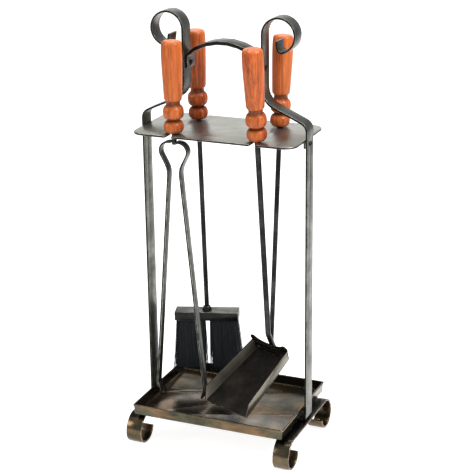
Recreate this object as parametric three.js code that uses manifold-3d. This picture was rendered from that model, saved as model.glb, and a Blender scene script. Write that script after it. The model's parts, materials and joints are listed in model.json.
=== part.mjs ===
// Fireplace tool set: a strap-steel stand with a shallow tray, and tongs, brush, shovel and poker
// that hang by their turned wooden handles from a slotted rack. Millimetres, +Z up, front is -Y.
// The origin is on the floor under the middle of the stand.
import * as THREE from 'three';
import { mergeVertices } from 'three/addons/utils/BufferGeometryUtils.js';
import Module from 'manifold-3d';

const wasm = await Module();
wasm.setup();

// ---------- driving dimensions ----------
const GAP = 0.3; // clearance between pieces that touch on the real object
const STRAP_WIDTH = 25;
const STRAP_THICK = 3;

const TRAY_WIDTH = 243;
const TRAY_DEPTH = 184;
const TRAY_BOTTOM = 50.5;
const RIM_TOP = 67.5;
const RIM_FLARE = 2; // the rim leans outward by this much
const TRAY_SHEET = 1.5;
const TRAY_CORNER = 3.5;
const HEM_THICK = 2.6;
const HEM_HEIGHT = 3;
const TRAY_FOLD = 1.5; // bevel where the floor turns up into the rim

const FOOT_X = 119.5;
const FOOT_REACH = 95.8; // front-most point of the scroll foot
const FOOT_SCROLL_R = 18.5;
const FOOT_PAD = 4; // flat under each scroll
const FOOT_CURL_END = 85; // degrees the scroll turns up past its pad

const UPRIGHT_X = 127.8; // centre of the strap thickness
const NECK_X = 60.8; // the same strap, after it has closed in above the rack
const LEAN_START = 495; // height where the strap begins to close in
const LEAN_TURN = 66;
const RING_R = 24.4;
const RING_Z = 629.3;
const RING_SWEEP = 256;
const RING_TONGUE = 11; // the strap's end stands up inside the ring

const RACK_TOP = 484.5;
const RACK_THICK = 3;
const RACK_FRONT = -61;
const RACK_REAR = 73;
const RACK_CORNER = 20;
const RACK_TAB = 13; // how far the end tabs hang below the plate's top
const SLOT_WIDTH = 9.6;
const SLOT_X = 64.7;
const FRONT_SLOT_Y = -40.7;
const REAR_SLOT_Y = 46.7;

const ARCH_THICK = 5.5;
const ARCH_TAB_Z = 574;
const ARCH_BEND_Z = 588.5;

const HANDLE_LENGTH = 134;
const HANDLE_BORE_DEPTH = 60;
const ROD_R = 3.7;

// ---------- materials ----------
const finish = {
  pewter: { color: 0x5c5a50, roughness: 0.45, metalness: 0.85 },
  copper: { color: 0x8a5f42, roughness: 0.45, metalness: 0.85 },
  wood: { color: 0xb4552c, roughness: 0.35, metalness: 0 },
  bristle: { color: 0x1c2024, roughness: 0.9, metalness: 0 },
  block: { color: 0x3a2a1c, roughness: 0.8, metalness: 0 },
  bronze: { color: 0x3a2e26, roughness: 0.4, metalness: 0.85 },
};

const root = new THREE.Group();
root.name = 'fireplace_tool_set';

function add(name, geometry, look, parent = root) {
  const mesh = new THREE.Mesh(geometry, new THREE.MeshStandardMaterial(finish[look]));
  mesh.name = name;
  parent.add(mesh);
}

// ---------- solid booleans ----------
function toManifold(geometry) {
  const bare = geometry.clone();
  bare.deleteAttribute('normal');
  bare.deleteAttribute('uv');
  const merged = mergeVertices(bare, 1e-4);
  return new wasm.Manifold(
    new wasm.Mesh({
      numProp: 3,
      vertProperties: new Float32Array(merged.attributes.position.array),
      triVerts: new Uint32Array(merged.index.array),
    }),
  );
}

function toGeometry(solid) {
  const mesh = solid.getMesh();
  const geometry = new THREE.BufferGeometry();
  geometry.setAttribute('position', new THREE.BufferAttribute(mesh.vertProperties, 3));
  geometry.setIndex(new THREE.BufferAttribute(mesh.triVerts, 1));
  geometry.computeVertexNormals();
  return geometry;
}

function cut(geometry, tools) {
  const result = tools.reduce((solid, tool) => solid.subtract(toManifold(tool)), toManifold(geometry));
  return toGeometry(result);
}

function join(geometry, others) {
  const result = others.reduce((solid, other) => solid.add(toManifold(other)), toManifold(geometry));
  return toGeometry(result);
}

// ---------- bent strip ----------
const radians = THREE.MathUtils.degToRad;

// Walks a centre line of straights and arcs; each step is {length} or {radius, turn} in degrees,
// a positive turn going left. Returns the stations with their headings.
function walk(x, y, heading, steps) {
  const stations = [{ x, y, heading }];
  const at = { x, y, heading };
  for (const step of steps) {
    if (step.length) {
      at.x += step.length * Math.cos(radians(at.heading));
      at.y += step.length * Math.sin(radians(at.heading));
      stations.push({ ...at });
      continue;
    }
    const count = Math.max(2, Math.round(Math.abs(step.turn) / 11));
    const part = step.turn / count;
    const chord = 2 * step.radius * Math.sin(radians(Math.abs(part) / 2));
    for (let i = 0; i < count; i += 1) {
      const along = radians(at.heading + part / 2);
      at.x += chord * Math.cos(along);
      at.y += chord * Math.sin(along);
      at.heading += part;
      stations.push({ ...at });
    }
  }
  return stations;
}

// The outline of a strip of the given thickness along those stations.
function stripShape(stations, thickness, side = 1) {
  const offset = (station, distance) => {
    const normal = radians(station.heading + 90);
    return new THREE.Vector2(
      side * (station.x + distance * Math.cos(normal)),
      station.y + distance * Math.sin(normal),
    );
  };
  const left = stations.map((station) => offset(station, thickness / 2));
  const right = stations.map((station) => offset(station, -thickness / 2));
  return new THREE.Shape([...left, ...right.reverse()]);
}

function extrude(shape, depth) {
  const geometry = new THREE.ExtrudeGeometry(shape, { depth, bevelEnabled: false, curveSegments: 10 });
  geometry.translate(0, 0, -depth / 2);
  return geometry;
}

// A strip drawn in the XZ plane, as wide in Y as asked.
function stripXZ(stations, thickness, width, side) {
  return extrude(stripShape(stations, thickness, side), width).rotateX(Math.PI / 2);
}

// A strip drawn in the YZ plane, as wide in X as asked.
function stripYZ(stations, thickness, width) {
  return stripXZ(stations, thickness, width).rotateZ(Math.PI / 2);
}

// ---------- round work ----------
// Revolves [radius, height] pairs about +Z; the profile starts and ends on the axis.
function turned(profile, segments = 20) {
  const points = profile.map(([radius, height]) => new THREE.Vector2(radius, height));
  return new THREE.LatheGeometry(points, segments).rotateX(Math.PI / 2);
}

function pin(radius, bottom, top, segments = 16) {
  return turned([[0, bottom], [radius, bottom], [radius, top], [0, top]], segments);
}

// A round rivet along +Z: two domed heads that hold `grip` millimetres between them.
const RIVET_SHANK = 2.2;
const RIVET_HEAD = 4;
const RIVET_DOME = 2.2;
const RIVET_HOLE = RIVET_SHANK + GAP;

function rivet(grip) {
  const half = grip / 2 + GAP;
  const dome = [0.9, 0.65, 0.35].map((share) => [
    RIVET_HEAD * share,
    half + RIVET_DOME * Math.sqrt(1 - share * share),
  ]);
  const upper = [[RIVET_SHANK, half], [RIVET_HEAD, half], ...dome, [0, half + RIVET_DOME]];
  const lower = upper.map(([radius, height]) => [radius, -height]).reverse();
  return turned([...lower, ...upper], 14);
}

const HOLE_REACH = 5; // how far a drill runs each way, past any sheet here

function hole() {
  return pin(RIVET_HOLE, -HOLE_REACH, HOLE_REACH, 14);
}

// The same hole, drilled along X and along Y.
const holeAcross = () => hole().rotateY(Math.PI / 2);
const holeAlong = () => hole().rotateX(Math.PI / 2);

// ---------- base tray ----------
function roundedLoop(halfWidth, halfDepth, radius, z) {
  const loop = [];
  const perCorner = 4;
  for (let corner = 0; corner < 4; corner += 1) {
    const cx = (corner === 0 || corner === 3 ? 1 : -1) * (halfWidth - radius);
    const cy = (corner < 2 ? 1 : -1) * (halfDepth - radius);
    for (let i = 0; i <= perCorner; i += 1) {
      const angle = (corner + i / perCorner) * (Math.PI / 2);
      loop.push([cx + radius * Math.cos(angle), cy + radius * Math.sin(angle), z]);
    }
  }
  return loop;
}

// Skins a stack of equal loops and closes the first and the last with a fan.
function loft(loops) {
  const count = loops[0].length;
  const positions = loops.flat().flat();
  const index = [];
  for (let ring = 0; ring + 1 < loops.length; ring += 1) {
    for (let i = 0; i < count; i += 1) {
      const next = (i + 1) % count;
      const a = ring * count + i;
      const b = ring * count + next;
      index.push(a, b, b + count, a, b + count, a + count);
    }
  }
  const last = (loops.length - 1) * count;
  for (let i = 1; i + 1 < count; i += 1) {
    index.push(0, i + 1, i, last, last + i, last + i + 1);
  }
  const geometry = new THREE.BufferGeometry();
  geometry.setAttribute('position', new THREE.Float32BufferAttribute(positions, 3));
  geometry.setIndex(index);
  geometry.computeVertexNormals();
  return geometry;
}

const TRAY_RIVET_X = 111;
const TRAY_RIVET_Y = 7;
const sides = { left: -1, right: 1 };
const ends = { front: -1, rear: 1 };

function baseTray() {
  const halfWidth = TRAY_WIDTH / 2;
  const halfDepth = TRAY_DEPTH / 2;
  const loop = (inset, z) =>
    roundedLoop(halfWidth - inset, halfDepth - inset, Math.max(TRAY_CORNER - inset, 2), z);
  const under = RIM_TOP - HEM_HEIGHT;
  const lip = HEM_THICK - TRAY_SHEET; // how far the hem stands out from the sheet
  const soft = 0.6; // bevel of the hem's edges
  const inside = RIM_FLARE + TRAY_SHEET;
  const floor = TRAY_BOTTOM + TRAY_SHEET;
  const body = loft([
    loop(RIM_FLARE + TRAY_FOLD, TRAY_BOTTOM),
    loop(RIM_FLARE, TRAY_BOTTOM + TRAY_FOLD),
    loop(lip, under),
    loop(0, under + soft),
    loop(0, RIM_TOP - soft),
    loop(soft, RIM_TOP),
    loop(HEM_THICK - soft, RIM_TOP),
    loop(HEM_THICK, RIM_TOP - soft),
    loop(inside, floor + TRAY_FOLD),
    loop(inside + TRAY_FOLD, floor),
  ]);
  const holes = [];
  for (const x of Object.values(sides)) {
    for (const y of Object.values(ends)) {
      holes.push(hole().translate(x * TRAY_RIVET_X, y * TRAY_RIVET_Y, TRAY_BOTTOM));
    }
  }
  return cut(body, holes);
}

add('base_tray', baseTray(), 'copper');

// ---------- scroll-footed bars ----------
const TAB_Z = TRAY_BOTTOM - GAP - STRAP_THICK / 2;
const FOOT_Z = TAB_Z - STRAP_THICK - GAP;
// The foot rises exactly as high as its two arcs, so the pad stands on the floor.
const SHOULDER_R = FOOT_Z - STRAP_THICK / 2 - FOOT_SCROLL_R;

function footBar(side) {
  const straight = FOOT_REACH - STRAP_THICK / 2 - SHOULDER_R;
  const half = walk(0, FOOT_Z, 180, [
    { length: straight },
    { radius: SHOULDER_R, turn: 90 },
    { radius: FOOT_SCROLL_R, turn: 90 },
    { length: FOOT_PAD },
    { radius: FOOT_SCROLL_R, turn: FOOT_CURL_END },
  ]);
  // the rear half is the front half mirrored and walked backwards
  const rear = half.slice(1).map(({ x, y, heading }) => ({ x: -x, y, heading: -heading }));
  const stations = [...rear.reverse(), ...half];
  const bar = stripYZ(stations, STRAP_THICK, STRAP_WIDTH).translate(side * FOOT_X, 0, 0);
  const holes = Object.values(ends).map((end) =>
    hole().translate(side * TRAY_RIVET_X, end * TRAY_RIVET_Y, FOOT_Z),
  );
  return cut(bar, holes);
}

for (const [label, side] of Object.entries(sides)) {
  add(`foot_bar_${label}`, footBar(side), 'copper');
}

// ---------- uprights with ring scrolls ----------
const TAB_END = 104; // how far in the foot tab of an upright reaches
const ARCH_RIVET_Z = 580.5;
const RACK_RIVET_Z = RACK_TOP - 8;

function upright(side) {
  const heel = 5;
  const corner = 14;
  const shoulder = 28;
  const curl = { radius: 6, turn: -96 };
  const turn = radians(LEAN_TURN);
  const inward = UPRIGHT_X - NECK_X - (corner + shoulder) * (1 - Math.cos(turn));
  const slope = inward / Math.sin(turn);
  const necking = LEAN_START + (corner + shoulder) * Math.sin(turn) + slope * Math.cos(turn);
  const stations = walk(TAB_END, TAB_Z, 0, [
    { length: UPRIGHT_X - heel - TAB_END },
    { radius: heel, turn: 90 },
    { length: LEAN_START - TAB_Z - heel },
    { radius: corner, turn: LEAN_TURN },
    { length: slope },
    { radius: shoulder, turn: -LEAN_TURN },
    { length: RING_Z - necking },
    { radius: RING_R, turn: -RING_SWEEP },
    curl,
    { length: RING_TONGUE },
  ]);
  const strap = stripXZ(stations, STRAP_THICK, STRAP_WIDTH, side);
  const holes = Object.values(ends).map((end) =>
    hole().translate(side * TRAY_RIVET_X, end * TRAY_RIVET_Y, TAB_Z),
  );
  const across = (x, z) => holeAcross().translate(side * x, 0, z);
  return cut(strap, [...holes, across(NECK_X, ARCH_RIVET_Z), across(UPRIGHT_X, RACK_RIVET_Z)]);
}

for (const [label, side] of Object.entries(sides)) {
  add(`upright_${label}`, upright(side), 'pewter');
}

// ---------- carry arch ----------
const ARCH_X = NECK_X - STRAP_THICK / 2 - GAP - ARCH_THICK / 2;

function carryArch() {
  const bend = 8;
  const crown = 51; // degrees the tab turns before the crown arc takes over
  const tangent = 90 - crown;
  const reach = ARCH_X - bend * (1 - Math.cos(radians(crown)));
  const stations = walk(ARCH_X, ARCH_TAB_Z, 90, [
    { length: ARCH_BEND_Z - ARCH_TAB_Z },
    { radius: bend, turn: crown },
    { radius: reach / Math.sin(radians(tangent)), turn: 2 * tangent },
    { radius: bend, turn: crown },
    { length: ARCH_BEND_Z - ARCH_TAB_Z },
  ]);
  const strap = stripXZ(stations, ARCH_THICK, STRAP_WIDTH, 1);
  const holes = Object.values(sides).map((side) =>
    holeAcross().translate(side * ARCH_X, 0, ARCH_RIVET_Z),
  );
  return cut(strap, holes);
}

add('carry_arch', carryArch(), 'pewter');

// ---------- tool rack ----------
const RACK_HALF = UPRIGHT_X - STRAP_THICK / 2 - GAP;

// The plate's outline: open slots in the front and rear edges, and four round corners.
function rackOutline() {
  const slot = SLOT_WIDTH / 2;
  const cornerX = RACK_HALF - RACK_CORNER;
  const quarter = Math.PI / 2;
  const shape = new THREE.Shape();
  const round = (x, y, start) => shape.absarc(x, y, RACK_CORNER, start, start + quarter, false);
  shape.moveTo(-cornerX, RACK_FRONT);
  for (const x of [-SLOT_X, SLOT_X]) {
    shape.lineTo(x - slot, RACK_FRONT);
    shape.lineTo(x - slot, FRONT_SLOT_Y);
    shape.absarc(x, FRONT_SLOT_Y, slot, Math.PI, 0, true);
    shape.lineTo(x + slot, RACK_FRONT);
  }
  shape.lineTo(cornerX, RACK_FRONT);
  round(cornerX, RACK_FRONT + RACK_CORNER, -quarter);
  round(cornerX, RACK_REAR - RACK_CORNER, 0);
  for (const x of [SLOT_X, -SLOT_X]) {
    shape.lineTo(x + slot, RACK_REAR);
    shape.lineTo(x + slot, REAR_SLOT_Y);
    shape.absarc(x, REAR_SLOT_Y, slot, 0, -Math.PI, true);
    shape.lineTo(x - slot, RACK_REAR);
  }
  shape.lineTo(-cornerX, RACK_REAR);
  round(-cornerX, RACK_REAR - RACK_CORNER, quarter);
  round(-cornerX, RACK_FRONT + RACK_CORNER, Math.PI);
  return shape;
}

function toolRack() {
  const plate = extrude(rackOutline(), RACK_THICK).translate(0, 0, RACK_TOP - RACK_THICK / 2);
  const tabs = Object.values(sides).map((side) =>
    new THREE.BoxGeometry(RACK_THICK, STRAP_WIDTH, RACK_TAB).translate(
      side * (RACK_HALF - RACK_THICK / 2),
      0,
      RACK_TOP - RACK_TAB / 2,
    ),
  );
  const holes = Object.values(sides).map((side) =>
    holeAcross().translate(side * (RACK_HALF - RACK_THICK / 2), 0, RACK_RIVET_Z),
  );
  return cut(join(plate, tabs), holes);
}

add('tool_rack', toolRack(), 'pewter');

// ---------- rivets of the stand ----------
function standRivets(label, side) {
  const across = (grip, x, z) => rivet(grip).rotateY(Math.PI / 2).translate(side * x, 0, z);
  const archGrip = STRAP_THICK + GAP + ARCH_THICK;
  const archMiddle = NECK_X + STRAP_THICK / 2 - archGrip / 2;
  add(`arch_rivet_${label}`, across(archGrip, archMiddle, ARCH_RIVET_Z), 'pewter');
  const rackGrip = STRAP_THICK + GAP + RACK_THICK;
  const rackMiddle = UPRIGHT_X + STRAP_THICK / 2 - rackGrip / 2;
  add(`rack_rivet_${label}`, across(rackGrip, rackMiddle, RACK_RIVET_Z), 'pewter');
  const top = TRAY_BOTTOM + TRAY_SHEET;
  const bottom = FOOT_Z - STRAP_THICK / 2;
  for (const [where, end] of Object.entries(ends)) {
    const fixed = rivet(top - bottom);
    fixed.translate(side * TRAY_RIVET_X, end * TRAY_RIVET_Y, (top + bottom) / 2);
    add(`tray_rivet_${label}_${where}`, fixed, 'pewter');
  }
}

for (const [label, side] of Object.entries(sides)) {
  standRivets(label, side);
}

// ---------- turned handles ----------
// Heights are measured up from the rack plate that the handle rests on.
const HANDLE = {
  seat: 8, // radius of the flat foot that stands on the rack
  lowBead: 14.8,
  lowBeadTop: 19.6,
  highBead: 15.3,
  highBeadFoot: 21.6,
  highBeadTop: 41,
  neck: 10.2,
  gripFoot: 49,
  grip: 15.3, // the grip swells toward the top
  crown: 11.2,
};

function beadProfile(bottom, top, radius, edge) {
  const middle = (bottom + top) / 2;
  const half = (top - bottom) / 2;
  return [-1, -0.82, -0.45, 0, 0.45, 0.82, 1].map((share) => [
    edge + (radius - edge) * Math.sqrt(1 - share * share),
    middle + half * share,
  ]);
}

function handle(rodRadius) {
  const bore = rodRadius + GAP;
  const { seat, lowBead, lowBeadTop, highBead, highBeadFoot, highBeadTop } = HANDLE;
  const { neck, gripFoot, grip, crown } = HANDLE;
  const profile = [
    [0, HANDLE_BORE_DEPTH],
    [bore, HANDLE_BORE_DEPTH],
    [bore, GAP],
    ...beadProfile(GAP, lowBeadTop, lowBead, seat),
    [neck - 0.6, (lowBeadTop + highBeadFoot) / 2],
    ...beadProfile(highBeadFoot, highBeadTop, highBead, neck + 0.8),
    [neck, highBeadTop + 1.4],
    [neck, gripFoot - 2],
    [grip - 2.7, gripFoot],
    [grip - 2, gripFoot + 3],
    [grip - 1.1, gripFoot + 26],
    [grip - 0.2, gripFoot + 51],
    [grip, HANDLE_LENGTH - 16],
    [grip - 0.4, HANDLE_LENGTH - 5],
    [grip - 1.7, HANDLE_LENGTH - 1.4],
    [crown, HANDLE_LENGTH],
    [0, HANDLE_LENGTH],
  ];
  return turned(profile, 24);
}

// How a tool hangs, in degrees: `twist` turns it about its own rod, `lean` tips its lower end to
// the rear and `side` tips it to the left. A leaning handle is lifted until its seat clears the rack.
function hang(group, x, y, { lean = 0, side = 0, twist = 0 } = {}) {
  group.rotation.set(radians(lean), radians(side), radians(twist), 'XYZ');
  const lift = HANDLE.seat * Math.sin(radians(Math.hypot(lean, side)));
  group.position.set(x, y, RACK_TOP + lift);
  root.add(group);
}

function toolGroup(name) {
  const group = new THREE.Group();
  group.name = name;
  return group;
}

const ROD_TOP = HANDLE_BORE_DEPTH - 1;
const down = (height) => height - RACK_TOP; // floor height to hanging height

// ---------- tongs ----------
const TONGS = {
  thick: 3,
  width: 12,
  crown: 471.5, // centre line of the spring bow at its top
  rodOverlap: 4, // how far the rod reaches below that line
  bow: { radius: 13.5, turn: -118 },
  waist: { radius: 30, turn: 33 },
  leg: 331,
  toe: { radius: 20, turn: -22 },
};

function tongsArm(side) {
  const start = ROD_R + GAP;
  const stations = walk(start, down(TONGS.crown), 0, [
    { length: 4 },
    TONGS.bow,
    { length: 15 },
    TONGS.waist,
    { length: TONGS.leg },
    TONGS.toe,
    { length: TONGS.width },
  ]);
  return stripXZ(stations, TONGS.thick, TONGS.width, side);
}

const tongs = toolGroup('tongs');
add('tongs_handle', handle(ROD_R), 'wood', tongs);
add('tongs_rod', pin(ROD_R, down(TONGS.crown - TONGS.rodOverlap), ROD_TOP), 'pewter', tongs);
for (const [label, side] of Object.entries(sides)) {
  add(`tongs_arm_${label}`, tongsArm(side), 'pewter', tongs);
}
hang(tongs, -SLOT_X + 0.6, FRONT_SLOT_Y, { side: -0.35 });

// ---------- brush ----------
const CHANNEL = { length: 100, depth: 25, height: 14, sheet: 1.3, top: 176 };
const BLOCK_HEIGHT = 9;
const ROD_SOCKET = 5; // how deep the brush rod sits in the wooden block
// The gap between the tufts, how far a tuft spreads outward and deepens toward its tip, and how
// high above the tip its sides bend.
const TUFT = { tip: 74, gap: 7, spread: 9, deepen: 6, knee: 32 };

function block(width, depth, bottom, top, x = 0) {
  return new THREE.BoxGeometry(width, depth, top - bottom).translate(x, 0, (bottom + top) / 2);
}

function brushChannel() {
  const top = down(CHANNEL.top);
  const bottom = top - CHANNEL.height;
  const outer = block(CHANNEL.length, CHANNEL.depth, bottom, top);
  const inner = block(
    CHANNEL.length - 2 * CHANNEL.sheet,
    CHANNEL.depth - 2 * CHANNEL.sheet,
    bottom - 1,
    top - CHANNEL.sheet,
  );
  return cut(outer, [inner, pin(ROD_R + GAP, top - 4, top + 2)]);
}

function brushBlock() {
  const clear = CHANNEL.sheet + GAP;
  const top = down(CHANNEL.top) - clear;
  const body = block(CHANNEL.length - 2 * clear, CHANNEL.depth - 2 * clear, top - BLOCK_HEIGHT, top);
  return cut(body, [pin(ROD_R + GAP, top - ROD_SOCKET, top + 2)]);
}

// A small cone that stands where the rod enters the channel.
function brushCollar() {
  const foot = down(CHANNEL.top) + GAP;
  const top = foot + 6.7;
  const skirt = foot + 1.7;
  const [wide, narrow] = [7.4, 5.2];
  const cone = turned([[0, foot], [wide, foot], [wide, skirt], [narrow, top], [0, top]]);
  return cut(cone, [pin(ROD_R + GAP, foot - 2, top + 2)]);
}

// One tuft: a block of bristles that spreads toward the tips.
function tuft(side) {
  const clear = CHANNEL.sheet + 2 * GAP;
  const root = down(CHANNEL.top) - clear - BLOCK_HEIGHT;
  const tip = down(TUFT.tip);
  const innerRoot = 0.6 * TUFT.gap;
  const innerTip = 0.35 * TUFT.gap;
  const outer = CHANNEL.length / 2 - clear;
  const depth = CHANNEL.depth / 2 - clear;
  const loop = (from, to, half, z) =>
    [[to, half], [from, half], [from, -half], [to, -half]].map(([x, y]) => [side * x, side * y, z]);
  const mouth = down(CHANNEL.top) - CHANNEL.height;
  return loft([
    loop(innerTip, outer + TUFT.spread, depth + TUFT.deepen, tip),
    loop(innerTip + 0.4, outer + 0.55 * TUFT.spread, depth + 0.65 * TUFT.deepen, tip + TUFT.knee),
    loop(innerRoot, outer, depth, mouth - 1),
    loop(innerRoot, outer, depth, root),
  ]);
}

const brush = toolGroup('brush');
add('brush_handle', handle(ROD_R), 'wood', brush);
add('brush_rod', pin(ROD_R, down(CHANNEL.top) - CHANNEL.sheet - ROD_SOCKET + 1, ROD_TOP), 'pewter', brush);
add('brush_channel', brushChannel(), 'pewter', brush);
add('brush_block', brushBlock(), 'block', brush);
for (const [label, side] of Object.entries(sides)) {
  add(`brush_tuft_${label}`, tuft(side), 'bristle', brush);
}
add('brush_collar', brushCollar(), 'pewter', brush);
hang(brush, -SLOT_X, REAR_SLOT_Y, { lean: 1.3, side: -0.85, twist: 16 });

// ---------- shovel ----------
const PAN = {
  length: 117,
  backWidth: 63,
  frontWidth: 82,
  wall: 19.5,
  flare: 3, // each wall leans out by this much
  sheet: 1.5,
  pitch: 21.6,
  nose: 36, // degrees that the front ends of the walls lean back
};
const SHOVEL = { rodRadius: 4.2, bendZ: 175.5, bendRadius: 15, tongue: 32, tonguePlay: 3 };
const BACK = { rise: 29, dip: 8, earRadius: 6 };

// The pan is drawn flat: floor in XY, back at y = 0, front at -length, walls up +Z.
function panSolid(inset, floor, rise, ahead) {
  const half = (y) => {
    const share = -y / PAN.length;
    return PAN.backWidth / 2 + (share * (PAN.frontWidth - PAN.backWidth)) / 2 - inset;
  };
  const outline = (z, flare) => {
    const back = -inset;
    const front = -PAN.length - ahead;
    return [
      [half(back) + flare, back, z],
      [-half(back) - flare, back, z],
      [-half(front) - flare, front, z],
      [half(front) + flare, front, z],
    ];
  };
  return loft([outline(floor, 0), outline(rise, PAN.flare)]);
}

const BACK_RIVET = { x: 23, z: 8 };
const backRivets = Object.values(sides).map((side) => [side * BACK_RIVET.x, BACK_RIVET.z]);

function panTray() {
  const outer = panSolid(0, 0, PAN.wall, 0);
  const inner = panSolid(PAN.sheet, PAN.sheet, PAN.wall + 1, 5);
  // a sloping plane takes the upper front corners off the walls
  const reach = 40;
  const nose = new THREE.BoxGeometry(PAN.frontWidth * 2, reach, reach)
    .translate(0, -reach / 2, reach / 2)
    .rotateX(-radians(PAN.nose))
    .translate(0, -PAN.length, PAN.sheet + 1);
  const holes = backRivets.map(([x, z]) => holeAlong().translate(x, 0, z));
  return cut(outer, [inner, nose, ...holes]);
}

// The back plate stands taller than the walls: a round ear at each top corner and a dip between.
function panBack() {
  const half = PAN.backWidth / 2;
  const ear = BACK.earRadius;
  const earX = half - 1;
  const earZ = BACK.rise - ear;
  const dip = BACK.rise - BACK.dip;
  const shape = new THREE.Shape();
  shape.moveTo(-half, 1);
  shape.lineTo(half, 1);
  shape.lineTo(half + PAN.flare, PAN.wall - 2);
  shape.absarc(earX, earZ, ear, 0, Math.PI * 0.75, false);
  shape.quadraticCurveTo(half * 0.6, dip, 0, dip);
  shape.quadraticCurveTo(-half * 0.6, dip, -earX + ear * Math.SQRT1_2, earZ + ear * Math.SQRT1_2);
  shape.absarc(-earX, earZ, ear, Math.PI * 0.25, Math.PI, false);
  shape.lineTo(-half - PAN.flare, PAN.wall - 2);
  const plate = extrude(shape, PAN.sheet).rotateX(Math.PI / 2).translate(0, PAN.sheet / 2 + GAP, 0);
  return cut(plate, backRivets.map(([x, z]) => holeAlong().translate(x, 0, z)));
}

// A round bar along stations that lie in the YZ plane.
function bentRod(stations, radius, segments = 14) {
  return loft(
    stations.map(({ x: y, y: z, heading }) => {
      const normal = radians(heading + 90);
      return Array.from({ length: segments }, (_, i) => {
        const angle = (i / segments) * 2 * Math.PI;
        const out = -radius * Math.sin(angle);
        return [radius * Math.cos(angle), y + out * Math.cos(normal), z + out * Math.sin(normal)];
      });
    }),
  );
}

const shovelStations = walk(0, ROD_TOP, 270, [
  { length: ROD_TOP - down(SHOVEL.bendZ) },
  { radius: SHOVEL.bendRadius, turn: PAN.pitch },
  { length: SHOVEL.tongue },
]);

// Carries the flat pan to the end of the rod, whose tongue lies along the back plate.
function toShovelRod(geometry) {
  const end = shovelStations.at(-1);
  const behind = PAN.sheet + 2 * GAP + SHOVEL.rodRadius;
  const above = SHOVEL.tonguePlay; // how far the tongue's end stays above the pan's floor line
  const pitch = radians(PAN.pitch);
  return geometry.rotateX(pitch).translate(
    0,
    end.x - behind * Math.cos(pitch) + above * Math.sin(pitch),
    end.y - behind * Math.sin(pitch) - above * Math.cos(pitch),
  );
}

const shovel = toolGroup('shovel');
add('shovel_handle', handle(SHOVEL.rodRadius), 'wood', shovel);
add('shovel_rod', bentRod(shovelStations, SHOVEL.rodRadius), 'pewter', shovel);
add('shovel_pan', toShovelRod(panTray()), 'bronze', shovel);
add('shovel_back', toShovelRod(panBack()), 'bronze', shovel);
for (const [label, side] of Object.entries(sides)) {
  const [x, z] = backRivets[side < 0 ? 0 : 1];
  const grip = 2 * PAN.sheet + GAP;
  const fixed = rivet(grip).rotateX(Math.PI / 2).translate(x, GAP / 2, z);
  add(`shovel_rivet_${label}`, toShovelRod(fixed), 'pewter', shovel);
}
hang(shovel, SLOT_X, FRONT_SLOT_Y, { lean: 7, twist: -19.7 });

// ---------- poker ----------
const POKER = { tip: 84, taper: 22, hookZ: 118, hookThick: 5, hook: { radius: 13, turn: -115 } };
const HOOK_HEADING = 205; // the hook leaves the rod forward and a little downward
const HOOK_CLEARANCE = 1.5; // keeps the hook's slanted root clear of the rod
const HOOK_END = POKER.hookThick; // straight at each end of the hook

const poker = toolGroup('poker');
add('poker_handle', handle(ROD_R), 'wood', poker);
add('poker_rod', turned([
  [0, down(POKER.tip)],
  [0.8, down(POKER.tip) + 1],
  [ROD_R, down(POKER.tip) + POKER.taper],
  [ROD_R, ROD_TOP],
  [0, ROD_TOP],
], 16), 'pewter', poker);
add('poker_hook', stripYZ(
  walk(-ROD_R - HOOK_CLEARANCE, down(POKER.hookZ), HOOK_HEADING, [
    { length: HOOK_END },
    POKER.hook,
    { length: HOOK_END },
  ]),
  POKER.hookThick,
  POKER.hookThick,
), 'pewter', poker);
hang(poker, SLOT_X, REAR_SLOT_Y, { lean: -1.5, side: 1.85 });

export default root;
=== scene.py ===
"""Looks for the fireplace tool set: a finer piece, in its own material, for every CAD node."""

import json
import math
import random

import bmesh
import bpy
import numpy as np
from mathutils import Matrix, Vector


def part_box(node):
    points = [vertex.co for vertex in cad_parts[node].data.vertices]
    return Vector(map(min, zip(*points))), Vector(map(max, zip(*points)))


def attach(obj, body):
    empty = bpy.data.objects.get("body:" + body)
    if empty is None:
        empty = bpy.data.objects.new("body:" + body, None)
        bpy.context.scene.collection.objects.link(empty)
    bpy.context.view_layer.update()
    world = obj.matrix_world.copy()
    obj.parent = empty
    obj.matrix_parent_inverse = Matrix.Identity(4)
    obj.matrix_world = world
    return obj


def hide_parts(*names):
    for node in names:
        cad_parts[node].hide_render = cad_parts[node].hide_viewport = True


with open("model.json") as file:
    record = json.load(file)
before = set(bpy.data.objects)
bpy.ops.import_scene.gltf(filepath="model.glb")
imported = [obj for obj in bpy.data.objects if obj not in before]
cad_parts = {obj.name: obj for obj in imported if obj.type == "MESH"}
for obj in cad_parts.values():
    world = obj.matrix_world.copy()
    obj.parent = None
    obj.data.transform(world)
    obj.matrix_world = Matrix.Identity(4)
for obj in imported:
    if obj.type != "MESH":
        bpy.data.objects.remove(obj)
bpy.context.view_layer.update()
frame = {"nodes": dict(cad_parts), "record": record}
MM = 0.001
random.seed(7)

NODE_BODY = {n: b for b, nodes in frame["record"]["behaviour"]["bodies"].items() for n in nodes}
NODE_SLOT = {s["node"]: s["material_slot"] for s in frame["record"]["subparts"]}


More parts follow.
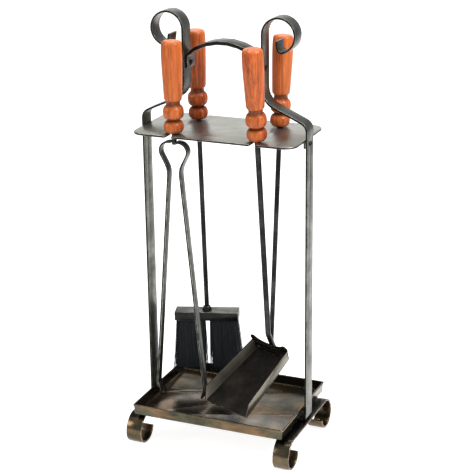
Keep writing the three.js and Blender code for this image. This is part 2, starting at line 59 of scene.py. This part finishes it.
# ---------- node helpers ----------
class Nodes:
    """A short way to wire a material's node tree."""

    def __init__(self, name):
        self.material = bpy.data.materials.new(name)
        self.material.use_nodes = True
        self.tree = self.material.node_tree
        self.tree.nodes.clear()
        self.shader = self.new("BsdfPrincipled")
        output = self.new("OutputMaterial")
        self.link(self.shader.outputs["BSDF"], output.inputs["Surface"])

    def new(self, kind, **values):
        node = self.tree.nodes.new("ShaderNode" + kind)
        for key, value in values.items():
            setattr(node, key, value)
        return node

    def link(self, source, target):
        self.tree.links.new(source, target)

    def place(self, scale=(1, 1, 1)):
        """Object coordinates, stretched."""
        coordinates = self.new("TexCoord")
        mapping = self.new("Mapping")
        mapping.inputs["Scale"].default_value = scale
        self.link(coordinates.outputs["Object"], mapping.inputs["Vector"])
        return mapping.outputs["Vector"]

    def noise(self, vector, scale, detail=4, roughness=0.55, distortion=0.0):
        node = self.new("TexNoise")
        node.inputs["Scale"].default_value = scale
        node.inputs["Detail"].default_value = detail
        node.inputs["Roughness"].default_value = roughness
        node.inputs["Distortion"].default_value = distortion
        self.link(vector, node.inputs["Vector"])
        return node.outputs["Fac"]

    def ramp(self, factor, stops):
        node = self.new("ValToRGB")
        elements = node.color_ramp.elements
        while len(elements) < len(stops):
            elements.new(0.5)
        for element, (position, color) in zip(elements, stops):
            element.position = position
            element.color = (*color, 1)
        self.link(factor, node.inputs["Fac"])
        return node.outputs["Color"]

    def mix(self, factor, first, second):
        node = self.new("Mix", data_type="RGBA")
        sockets = (node.inputs[0], node.inputs[6], node.inputs[7])  # the factor and the two colours
        for value, socket in zip((factor, first, second), sockets):
            if isinstance(value, (int, float)):
                socket.default_value = value
            elif isinstance(value, tuple):
                socket.default_value = (*value, 1)
            else:
                self.link(value, socket)
        return node.outputs[2]

    def math(self, operation, first, second=0.0):
        node = self.new("Math", operation=operation)
        for value, socket in zip((first, second), node.inputs):
            if isinstance(value, (int, float)):
                socket.default_value = value
            else:
                self.link(value, socket)
        return node.outputs[0]

    def attribute(self, name):
        """A number kept on the faces of the mesh."""
        return self.new("Attribute", attribute_name=name).outputs["Fac"]

    def range(self, value, low, high, to_low, to_high):
        node = self.new("MapRange")
        for socket, number in zip(node.inputs[1:5], (low, high, to_low, to_high)):
            socket.default_value = number
        self.link(value, node.inputs[0])
        return node.outputs[0]

    def bump(self, height, strength, distance):
        node = self.new("Bump")
        node.inputs["Strength"].default_value = strength
        node.inputs["Distance"].default_value = distance
        self.link(height, node.inputs["Height"])
        self.link(node.outputs["Normal"], self.shader.inputs["Normal"])

    def set(self, **values):
        for key, value in values.items():
            socket = self.shader.inputs[key.replace("_", " ")]
            if hasattr(value, "links"):
                self.link(value, socket)
            elif isinstance(value, tuple):
                socket.default_value = (*value, 1)
            else:
                socket.default_value = value


# ---------- materials ----------
def antique_metal(name, tones, painted_shading_and_tone, wear_and_highlight, rub=None, gloss=0.0):
    """Lacquered steel with a faint cloudy patina. `painted_shading_and_tone` is painted shade and
    dark reflection on the sheared edges and recesses, a painted highlight on the shovel pan's lit
    wall, and a darker tone over some whole parts. `wear_and_highlight` is the scuffed finish on the
    rounded edges, which also stands for painted edge highlights, and a painted glare on lit flats;
    `rub` is a warmer colour that shows in patches."""
    n = Nodes(name)
    place = n.place()
    # patina: three tones in soft clouds, and patches where a warmer colour shows
    cloud = n.noise(place, 30, detail=6, roughness=0.62)
    color = n.ramp(cloud, [(0.36, tones[0]), (0.5, tones[1]), (0.66, tones[2])])
    if rub:
        patch = n.noise(n.place((1.0, 1.4, 2.4)), 18, detail=6, distortion=0.6)
        color = n.mix(n.range(patch, 0.42, 0.66, 0.0, 0.85), color, rub)
    # the faces and edges that the mesh marks: painted glare on lit flats, painted shade and dark
    # reflection on edges and recesses, and a painted highlight on the shovel pan's lit wall
    shading_cover = 0.92
    color = n.mix(n.attribute("painted_glare"), color, wear_and_highlight)
    color = n.mix(n.math("MULTIPLY", n.attribute("painted_shading_and_tone"), shading_cover), color, painted_shading_and_tone)
    # the rounded edges: a scuffed finish, which also stands for painted highlights along them
    scuff = n.range(n.noise(place, 90, detail=5), 0.4, 0.56, 0.15, 1.0)
    edge_wear_and_highlight = n.math("MULTIPLY", n.attribute("edge_wear_and_highlight"), scuff)
    color = n.mix(edge_wear_and_highlight, color, wear_and_highlight)
    # sheen: brushed streaks, a little glossier on the scuffed edges
    dull, glossy, worn_gloss = 0.42 - gloss, 0.27 - gloss, 0.06
    brushed = n.noise(n.place((40, 40, 900)), 1, detail=3)
    streaks = n.math("ADD", cloud, n.math("MULTIPLY", brushed, 0.3))
    rough = n.range(streaks, 0.45, 0.85, dull, glossy)
    rough = n.math("SUBTRACT", rough, n.math("MULTIPLY", edge_wear_and_highlight, worn_gloss))
    n.set(Base_Color=color, Roughness=rough, Metallic=0.95)
    fine = n.noise(place, 700, detail=2)
    height = n.math("ADD", n.math("MULTIPLY", cloud, 0.5), n.math("MULTIPLY", fine, 0.2))
    n.bump(height, 0.22, 0.5 * MM)
    return n.material


def varnished_wood():
    """Turned hardwood under varnish, with painted shade in the grooves between the beads."""
    n = Nodes("varnished_wood")
    grain = n.noise(n.place((14, 14, 0.9)), 14, detail=7, roughness=0.6, distortion=0.8)
    pores = n.noise(n.place((60, 60, 2.2)), 16, detail=3)
    broad = n.noise(n.place((3, 3, 0.5)), 9, detail=2)
    dark, middle, light = (0.13, 0.02, 0.006), (0.4, 0.072, 0.015), (0.6, 0.145, 0.03)
    pore, honey, painted_groove_shade = (0.07, 0.014, 0.007), (0.64, 0.19, 0.04), (0.05, 0.01, 0.004)
    color = n.ramp(grain, [(0.3, dark), (0.5, middle), (0.7, light)])
    color = n.mix(n.range(pores, 0.38, 0.5, 0.55, 0.0), color, pore)
    color = n.mix(n.range(broad, 0.35, 0.65, 0.0, 0.35), color, honey)
    # painted shade in the grooves between the beads
    color = n.mix(n.math("MULTIPLY", n.attribute("groove"), 0.8), color, painted_groove_shade)
    n.set(Base_Color=color, Roughness=n.range(grain, 0.3, 0.7, 0.42, 0.3))
    n.set(Coat_Weight=0.25, Coat_Roughness=0.08, Specular_IOR_Level=0.1)
    n.bump(n.math("ADD", n.math("MULTIPLY", grain, 0.5), pores), 0.15, 0.4 * MM)
    return n.material


def bristle():
    """Black bristle with a faint cold sheen along its length."""
    n = Nodes("bristle")
    streak = n.noise(n.place((500, 500, 6)), 2, detail=2)
    color = n.ramp(streak, [(0.35, (0.003, 0.005, 0.006)), (0.65, (0.015, 0.019, 0.022))])
    n.set(Base_Color=color, Roughness=n.range(streak, 0.3, 0.7, 0.6, 0.45))
    n.set(Specular_IOR_Level=0.3)
    return n.material


def plain_wood():
    """The dark, unvarnished core of the brush."""
    n = Nodes("brush_wood")
    grain = n.noise(n.place((1, 14, 14)), 20, detail=5)
    color = n.ramp(grain, [(0.3, (0.02, 0.012, 0.008)), (0.7, (0.09, 0.055, 0.03))])
    n.set(Base_Color=color, Roughness=n.range(grain, 0.3, 0.7, 0.75, 0.6))
    n.bump(grain, 0.2, 0.5 * MM)
    return n.material


# the colour of painted shade and dark reflection on edges and recesses
PAINTED_EDGE_SHADE = (0.012, 0.012, 0.011)
MATERIALS = {
    "antique_pewter": antique_metal(
        "antique_pewter",
        tones=((0.05, 0.052, 0.043), (0.096, 0.097, 0.082), (0.165, 0.165, 0.142)),
        painted_shading_and_tone=PAINTED_EDGE_SHADE,
        wear_and_highlight=(0.34, 0.33, 0.285),
    ),
    "antique_copper": antique_metal(
        "antique_copper",
        tones=((0.032, 0.031, 0.019), (0.06, 0.057, 0.037), (0.094, 0.089, 0.058)),
        painted_shading_and_tone=PAINTED_EDGE_SHADE,
        wear_and_highlight=(0.5, 0.31, 0.18),
        rub=(0.2, 0.12, 0.062),
        gloss=0.13,
    ),
    "dark_bronze": antique_metal(
        "dark_bronze",
        tones=((0.012, 0.012, 0.01), (0.024, 0.021, 0.017), (0.05, 0.038, 0.03)),
        # lighter than its tones: a painted highlight on the pan's wall that faces the lights
        painted_shading_and_tone=(0.2, 0.18, 0.145),
        wear_and_highlight=(0.34, 0.3, 0.24),
    ),
    "dark_steel": antique_metal(
        "dark_steel",
        tones=((0.012, 0.012, 0.012), (0.024, 0.024, 0.023), (0.05, 0.05, 0.047)),
        painted_shading_and_tone=PAINTED_EDGE_SHADE,
        wear_and_highlight=(0.11, 0.11, 0.1),
    ),
    "varnished_wood": varnished_wood(),
    "brush_wood": plain_wood(),
    "bristles": bristle(),
}


# ---------- pieces ----------
def new_piece(name, mesh, node, smooth_angle=40):
    """Adds a mesh that stands for one CAD node, on that node's body, in its record material."""
    piece = bpy.data.objects.new(name, mesh)
    bpy.context.scene.collection.objects.link(piece)
    mesh.materials.clear()
    mesh.materials.append(MATERIALS[NODE_SLOT[node]])
    for polygon in mesh.polygons:
        polygon.use_smooth = True
    mesh.set_sharp_from_angle(angle=math.radians(smooth_angle))
    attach(piece, NODE_BODY[node])
    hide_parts(node)
    return piece


X, Y = Vector((1, 0, 0)), Vector((0, 1, 0))
ALONG = 0.8  # a face looks along an axis when its normal has more than this much of it
STEEP = 0.5  # a face is a wall when its normal has less than this much of Z
HIGH_SHARE = 0.9  # of a foot bar's height: its flats above this are under the tray


def sheared(axis):
    """The faces that a strap's shears leave: those square to the given width axis."""
    return lambda face: abs(face.normal.dot(axis)) > ALONG


def wall(face):
    """The upright faces: a plate's thin rim, or the sides of the brush channel."""
    return abs(face.normal.z) < STEEP


def inner_wall(face):
    """The faces of a tray's walls that look inward."""
    outward = face.calc_center_median() * Vector((1, 1, 0))
    return wall(face) and face.normal.dot(outward) < 0


def right_wall(face):
    """The right-hand outer wall of the shovel pan, which takes a painted highlight where it faces the
    lights.
    """
    return face.normal.x > ALONG


def top(face):
    return face.normal.z > ALONG


def foot_side(face):
    """A foot bar's sheared sides and its flats high up under the tray: the faces that take painted
    shade.
    """
    bar_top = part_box("foot_bar_left")[1].z
    high = face.calc_center_median().z > HIGH_SHARE * bar_top
    return sheared(X)(face) or (high and abs(face.normal.z) > ALONG)


# the faces that take their material's painted shading colour: painted shade and dark reflection
# on sheared edges, rims, the tray's inner walls and the foot bars' flats under the tray, and a
# painted highlight on the shovel pan's lit wall
PAINTED_SHADING_FACES = {
    "brush_channel": wall,
    "upright_left": sheared(Y),
    "upright_right": sheared(Y),
    "carry_arch": sheared(Y),
    "tongs_arm_left": sheared(Y),
    "tongs_arm_right": sheared(Y),
    "foot_bar_left": foot_side,
    "foot_bar_right": foot_side,
    "tool_rack": wall,
    "base_tray": inner_wall,
    "shovel_pan": right_wall,
}
# how much of the painted shading colour a node's other faces have, from 0 to 1, which darkens the
# whole part's tone
SHADE = {"tongs_arm_left": 0.65, "tongs_arm_right": 0.65, "carry_arch": 0.7}
# the faces that take a painted glare: the lamps' reflection on the rack's top
PAINTED_GLARE_FACES = {"tool_rack": top}
GLARE = 0.75
# millimetres and degrees: points nearer than the first are one, faces flatter than the second are
# merged, and edges sharper than the third are rounded
WELD, FLAT, SHARP = 0.002, 1.5, 35


def refined(node, edge, segments=2):
    """The CAD solid with its flats merged and every hard edge rounded. Three numbers on each
    face guide the material: `painted_shading_and_tone` for painted shade and dark reflection on
    sheared or recessed faces, a painted highlight on the shovel pan's lit wall and a darker tone on
    some parts; `edge_wear_and_highlight` on the rounded edges, for a scuffed finish that also stands
    for painted highlights; and
    `painted_glare` for a painted glare on lit flats."""
    work = bmesh.new()
    work.from_mesh(frame["nodes"][node].data)
    bmesh.ops.remove_doubles(work, verts=work.verts, dist=WELD * MM)
    bmesh.ops.dissolve_limit(work, angle_limit=math.radians(FLAT), verts=work.verts, edges=work.edges)
    painted_shading_and_tone = work.faces.layers.float.new("painted_shading_and_tone")
    edge_wear_and_highlight = work.faces.layers.float.new("edge_wear_and_highlight")
    painted_glare = work.faces.layers.float.new("painted_glare")
    is_painted_shading = PAINTED_SHADING_FACES.get(node, lambda face: False)
    is_glare = PAINTED_GLARE_FACES.get(node, lambda face: False)
    # painted shading on the marked faces, and painted glare on the rack's top
    for face in work.faces:
        face[painted_shading_and_tone] = 1.0 if is_painted_shading(face) else SHADE.get(node, 0.0)
        face[painted_glare] = GLARE if is_glare(face) else 0.0
    sharp = math.radians(SHARP)
    hard = [e for e in work.edges if len(e.link_faces) == 2 and e.calc_face_angle(0) > sharp]
    rounded = bmesh.ops.bevel(
        work,
        geom=hard,
        offset=edge * MM,
        offset_type="OFFSET",
        segments=segments,
        profile=0.5,
        affect="EDGES",
        clamp_overlap=True,
    )
    # the rounded edges: a scuffed finish, and painted highlights along them
    for face in rounded["faces"]:
        face[edge_wear_and_highlight] = 1.0
    mesh = bpy.data.meshes.new(node + "_look")
    work.to_mesh(mesh)
    work.free()
    return new_piece(node + "_look", mesh, node)


# ---------- turned handles ----------
def unique_points(node):
    """The corners of a CAD solid, each once and in a fixed order."""
    points = {tuple(round(c, 6) for c in v.co) for v in frame["nodes"][node].data.vertices}
    return [Vector(p) for p in sorted(points)]


def turned_axis(points):
    """The middle and the long axis of a turned solid, from how its points spread."""
    cloud = np.array(points)
    middle = cloud.mean(axis=0)
    _, directions = np.linalg.eigh(np.cov((cloud - middle).T))
    axis = Vector(directions[:, 2])
    return Vector(middle), axis if axis.z > 0 else -axis


def soften(profile, rounds=2):
    """Cuts the corners of a polyline again and again, which leaves a smooth curve."""
    for _ in range(rounds):
        smooth = [profile[0]]
        for (r0, t0), (r1, t1) in zip(profile, profile[1:]):
            smooth.append((0.75 * r0 + 0.25 * r1, 0.75 * t0 + 0.25 * t1))
            smooth.append((0.25 * r0 + 0.75 * r1, 0.25 * t0 + 0.75 * t1))
        profile = smooth + [profile[-1]]
    return profile


BORE = 5 * MM  # every ring with a smaller radius belongs to the bore for the rod
CROWN_SHARE = 0.6  # the flat of the crown, as a share of the crown's radius
GRIP_SHARE = 0.36  # share of the handle's length below its grip


def handle_profile(rings):
    """The outline from the seat up to the middle of the crown, as radius and height, from the
    CAD rings given as height and radius."""
    outer = [(r, h) for h, r in rings if r > BORE]
    seat = (max(r for h, r in rings if r < BORE), outer[0][1])
    crown_radius, top_height = outer[-1]
    shoulder = (crown_radius * CROWN_SHARE, top_height)
    return [seat] + soften(outer + [shoulder]) + [(0.0, top_height)]


def groove_shade(radius, height, widest, grip_foot):
    """How deep in a groove a ring of the turning lies, from 0 to 1. The grip has no groove."""
    shallow, depth = 0.9, 0.25
    if height > grip_foot:
        return 0.0
    return min(max((shallow * widest - radius) / (depth * widest), 0.0), 1.0)


def revolve(profile, middle, axis, segments):
    """Turns the outline about the axis, and closes its last point with a fan."""
    side = axis.orthogonal().normalized()
    across = axis.cross(side)
    vertices = []
    for radius, height in profile[:-1]:
        for i in range(segments):
            angle = 2 * math.pi * i / segments
            spoke = math.cos(angle) * side + math.sin(angle) * across
            vertices.append(middle + height * axis + radius * spoke)
    vertices.append(middle + profile[-1][1] * axis)
    faces = []
    for ring in range(len(profile) - 2):
        for i in range(segments):
            a, b = ring * segments + i, ring * segments + (i + 1) % segments
            faces.append((a, b, b + segments, a + segments))
    last, tip = (len(profile) - 2) * segments, len(vertices) - 1
    faces += [(last + i, last + (i + 1) % segments, tip) for i in range(segments)]
    return vertices, faces


def handle(node, segments=56):
    """A finely turned copy of the CAD handle, revolved about the axis that its points give. The
    number `groove` on each face tells the varnish where to paint shade in the grooves."""
    points = unique_points(node)
    middle, axis = turned_axis(points)
    heights = [(p - middle).dot(axis) for p in points]
    radii = [(p - middle - h * axis).length for p, h in zip(points, heights)]
    rings = sorted({(round(h, 5), round(r, 5)) for h, r in zip(heights, radii)})
    profile = handle_profile(rings)
    mesh = bpy.data.meshes.new(node + "_look")
    vertices, faces = revolve(profile, middle, axis, segments)
    mesh.from_pydata(vertices, [], faces)
    mesh.update()
    widest = max(radii)
    low, high = profile[0][1], profile[-1][1]
    grip_foot = low + GRIP_SHARE * (high - low)
    shades = []
    for (r0, h0), (r1, h1) in zip(profile, profile[1:]):
        shade = groove_shade((r0 + r1) / 2, (h0 + h1) / 2, widest, grip_foot)
        shades += [shade] * segments
    mesh.attributes.new("groove", "FLOAT", "FACE").data.foreach_set("value", shades)
    return new_piece(node + "_look", mesh, node)


# ---------- bristles ----------
BRISTLE = {
    "columns": 34,
    "rows": 14,
    "radius": 0.33,  # mm, at the root
    "taper": 0.55,  # share of the radius lost at the tip
    "sides": 3,
    "turn": 0.3,  # radians, so that no side lies square to the tuft
}
CORE = {"inset": 0.09, "reach": 0.72}  # shares of the tuft's width and of its lower part
SCATTER = {
    "place": 0.4,  # of one column or row
    "across": 0.035,  # of the tuft's width, at the tip
    "deep": 0.06,  # of the tuft's depth, at the tip
    "reach": 0.035,  # of the lower length
    "bend": 0.4,  # mm
}
CORNERS = 4  # a tuft's sections are four-cornered


def tuft_sections(node):
    """The sections of the CAD tuft from its root to its tip, each as four ordered corners."""
    points = sorted(unique_points(node), key=lambda p: -p.z)
    sections = []
    for first in range(0, len(points), CORNERS):
        corners = points[first : first + CORNERS]
        centre = sum(corners, Vector()) / CORNERS
        sections.append(sorted(corners, key=lambda p: math.atan2(p.y - centre.y, p.x - centre.x)))
    return sections


def inside(corners, u, v):
    """The point at the shares u and v across a four-cornered section."""
    return corners[0].lerp(corners[1], u).lerp(corners[3].lerp(corners[2], u), v)


def skin(work, loops):
    """Walls between equal loops of vertices, and a cap at each end."""
    count = len(loops[0])
    for above, below in zip(loops, loops[1:]):
        for i in range(count):
            j = (i + 1) % count
            work.faces.new((above[i], below[i], below[j], above[j]))
    work.faces.new(loops[0])
    work.faces.new(reversed(loops[-1]))


def strand(work, stops):
    """One bristle: a needle through the given points, thinner toward its tip."""
    loops = []
    angles = [BRISTLE["turn"] + i * math.tau / BRISTLE["sides"] for i in range(BRISTLE["sides"])]
    for index, point in enumerate(stops):
        share = index / (len(stops) - 1)
        size = BRISTLE["radius"] * MM * (1 - BRISTLE["taper"] * share)
        corners = [point + size * Vector((math.cos(a), math.sin(a), 0)) for a in angles]
        loops.append([work.verts.new(corner) for corner in corners])
    skin(work, loops)


def core(work, sections):
    """The dense middle of the tuft, which the outer bristles hide."""
    low, high = CORE["inset"], 1 - CORE["inset"]
    shares = ((low, low), (high, low), (high, high), (low, high))
    skin(work, [[work.verts.new(inside(section, u, v)) for u, v in shares] for section in sections])


def jitter(amount):
    return random.uniform(-amount, amount)


def share_of(value):
    """The value, kept between 0 and 1."""
    return min(max(value, 0), 1)


def tuft(node):
    """Separate bristles that fill the CAD tuft from its mouth to its tips, round a dense core."""
    root, mouth, middle, tip = tuft_sections(node)
    work = bmesh.new()
    core_end = [m.lerp(t, CORE["reach"]) for m, t in zip(middle, tip)]
    core(work, [root, mouth, middle, core_end])
    columns, rows = BRISTLE["columns"], BRISTLE["rows"]
    for column in range(columns):
        for row in range(rows):
            u = share_of((column + 0.5) / columns + jitter(SCATTER["place"] / columns))
            v = share_of((row + 0.5) / rows + jitter(SCATTER["place"] / rows))
            stray = (share_of(u + jitter(SCATTER["across"])), share_of(v + jitter(SCATTER["deep"])))
            reach = 1 - abs(random.gauss(0, SCATTER["reach"]))
            start, knee = inside(mouth, u, v), inside(middle, u, v)
            end = knee.lerp(inside(tip, *stray), reach)
            sway = Vector((jitter(SCATTER["bend"]), jitter(SCATTER["bend"]), 0)) * MM
            strand(work, [start, knee, knee.lerp(end, 0.5) + sway, end])
    bmesh.ops.recalc_face_normals(work, faces=work.faces)
    mesh = bpy.data.meshes.new(node + "_look")
    work.to_mesh(mesh)
    work.free()
    return new_piece(node + "_look", mesh, node, smooth_angle=80)


SOFT_EDGE, RIVET_EDGE = 0.5, 0.3  # mm that every hard edge is rounded by

for node in frame["nodes"]:
    if "tuft" in node:
        tuft(node)
    elif node.endswith("_handle"):
        handle(node)
    else:
        refined(node, RIVET_EDGE if "rivet" in node else SOFT_EDGE)


# ---------- studio ----------
# metres and watts: where each square softbox stands, what it looks at, its side and its power
LIGHTS = {
    "key": ((2.2, -0.6, 2.4), (0, 0, 0.3), 1.4, 90),
    "top": ((0.0, 0.6, 3.2), (0, 0.3, 0), 2.4, 110),
    "fill": ((-2.2, -1.8, 1.4), (0, 0, 0.3), 1.2, 22),
}
SKY_COLOR, SKY_STRENGTH = (0.9, 0.95, 1.0, 1), 0.52


def area_light(name, location, target, size, power):
    light = bpy.data.lights.new(name, "AREA")
    light.size = size
    light.energy = power
    lamp = bpy.data.objects.new(name, light)
    lamp.location = location
    direction = Vector(target) - Vector(location)
    lamp.rotation_euler = direction.to_track_quat("-Z", "Y").to_euler()
    bpy.context.scene.collection.objects.link(lamp)


# metres, measured as the camera looks: how far the sweep reaches, where and how tightly it curves up
SWEEP = {"front": 6.0, "side": 6.0, "curve": 4.4, "radius": 1.2, "top": 5.0, "steps": 8}
# the distance from the middle up to which the glow is full and past which it is low, and both glows
GLOW = (1.0, 1.8, 0.86, 0.12)


def floor():
    """A pale sweep: floor that curves up behind the object."""
    profile = [(-SWEEP["front"], 0.0), (SWEEP["curve"], 0.0)]
    radius, steps = SWEEP["radius"], SWEEP["steps"]
    for i in range(1, steps + 1):
        angle = math.radians(90 * i / steps)
        profile.append((SWEEP["curve"] + radius * math.sin(angle), radius * (1 - math.cos(angle))))
    profile.append((SWEEP["curve"] + radius, SWEEP["top"]))
    vertices = [(x, y, z) for y, z in profile for x in (-SWEEP["side"], SWEEP["side"])]
    faces = [(2 * i, 2 * i + 1, 2 * i + 3, 2 * i + 2) for i in range(len(profile) - 1)]
    mesh = bpy.data.meshes.new("sweep")
    mesh.from_pydata(vertices, [], faces)
    for polygon in mesh.polygons:
        polygon.use_smooth = True
    n = Nodes("sweep_paper")
    fibre = n.noise(n.place(), 300, detail=2)
    paper = n.ramp(fibre, [(0.3, (0.5, 0.5, 0.5)), (0.7, (0.54, 0.54, 0.54))])
    n.set(Base_Color=paper, Roughness=0.9)
    # its middle strip is lit from below, like a light table, so that the set casts hardly any shadow
    split = n.new("SeparateXYZ")
    n.link(n.place(), split.inputs[0])
    off_middle = n.math("ABSOLUTE", split.outputs["X"])
    n.set(Emission_Color=(1.0, 1.0, 1.0), Emission_Strength=n.range(off_middle, *GLOW))
    mesh.materials.append(n.material)
    sweep = bpy.data.objects.new("sweep", mesh)
    sweep.rotation_euler.z = math.radians(CAMERA["azimuth"])
    bpy.context.scene.collection.objects.link(sweep)


# degrees and metres; the azimuth turns from the front toward the right
CAMERA = {
    "azimuth": 23.04,
    "elevation": 19.05,
    "roll": -0.72,
    "distance": 2.112,
    "target": (0.0106, 0.0025, 0.3248),
    "field": 18.69,
}


def camera():
    """Stands off from its target along the view's direction, with a slight roll."""
    azimuth, elevation, roll = (math.radians(CAMERA[k]) for k in ("azimuth", "elevation", "roll"))
    back = Vector(
        (
            math.sin(azimuth) * math.cos(elevation),
            -math.cos(azimuth) * math.cos(elevation),
            math.sin(elevation),
        )
    )
    right = Vector((math.cos(azimuth), math.sin(azimuth), 0))
    up = back.cross(right)
    rolled_right = math.cos(roll) * right + math.sin(roll) * up
    rolled_up = math.cos(roll) * up - math.sin(roll) * right
    data = bpy.data.cameras.new("camera")
    data.sensor_width = 36
    data.angle = math.radians(CAMERA["field"])
    eye = bpy.data.objects.new("camera", data)
    turn = Matrix((rolled_right, rolled_up, back)).transposed().to_4x4()
    eye.matrix_world = Matrix.Translation(Vector(CAMERA["target"]) + CAMERA["distance"] * back) @ turn
    bpy.context.scene.collection.objects.link(eye)
    bpy.context.scene.camera = eye


def studio():
    """A dim pale sky and three softboxes."""
    world = bpy.data.worlds.new("studio")
    world.use_nodes = True
    sky = world.node_tree.nodes["Background"]
    sky.inputs["Color"].default_value = SKY_COLOR
    sky.inputs["Strength"].default_value = SKY_STRENGTH
    bpy.context.scene.world = world
    for name, (location, target, size, power) in LIGHTS.items():
        area_light(name, location, target, size, power)


floor()
camera()
studio()
bpy.context.scene.view_settings.view_transform = "Standard"
